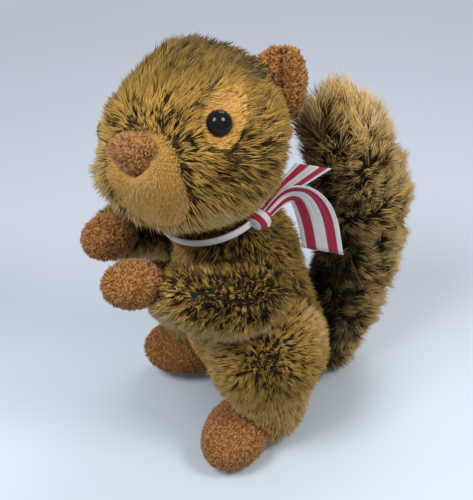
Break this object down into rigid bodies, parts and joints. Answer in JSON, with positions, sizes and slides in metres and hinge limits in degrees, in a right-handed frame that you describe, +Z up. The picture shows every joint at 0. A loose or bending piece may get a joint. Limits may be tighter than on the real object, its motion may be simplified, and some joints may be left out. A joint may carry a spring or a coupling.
{
  "type": "plush squirrel",
  "caption": "Sitting plush squirrel with a turned head, raised paws, an upright bushy tail and a striped ribbon tied at the side of the neck.",
  "frame": {"origin": "on the floor, on the flat underside of the rump in the plane between the legs", "axes": "+Z up, the squirrel faces -Y, its left side is +X"},
  "size_m": [0.156, 0.2361, 0.273],
  "materials": {
    "golden_brown_pile": "medium pile fur fabric, golden tips over dark roots",
    "dark_long_pile": "long shaggy pile, dark roots and light tips",
    "short_golden_pile": "short brushed pile",
    "brown_terry": "curly terry fleece",
    "black_plastic": "polished dome",
    "clear_plastic": "plain moulded",
    "striped_ribbon": "ribbed ribbon, two crimson stripes on white"
  },
  "bodies": {
    "root": {"head": "golden_brown_pile", "muzzle_panel": "short_golden_pile", "nose": "brown_terry", "ear_left": "brown_terry", "ear_right": "brown_terry", "eye_patch_left": "short_golden_pile", "eye_patch_right": "short_golden_pile", "eye_left": "black_plastic", "eye_right": "black_plastic", "eye_washer_left": "clear_plastic", "eye_washer_right": "clear_plastic", "torso": "golden_brown_pile", "belly_panel": "short_golden_pile", "arm_left": "golden_brown_pile", "arm_right": "golden_brown_pile", "paw_left": "brown_terry", "paw_right": "brown_terry", "leg_left": "golden_brown_pile", "leg_right": "golden_brown_pile", "foot_left": "brown_terry", "foot_right": "brown_terry", "tail": "dark_long_pile", "neck_ribbon": "striped_ribbon"}
  },
  "joints": []
}
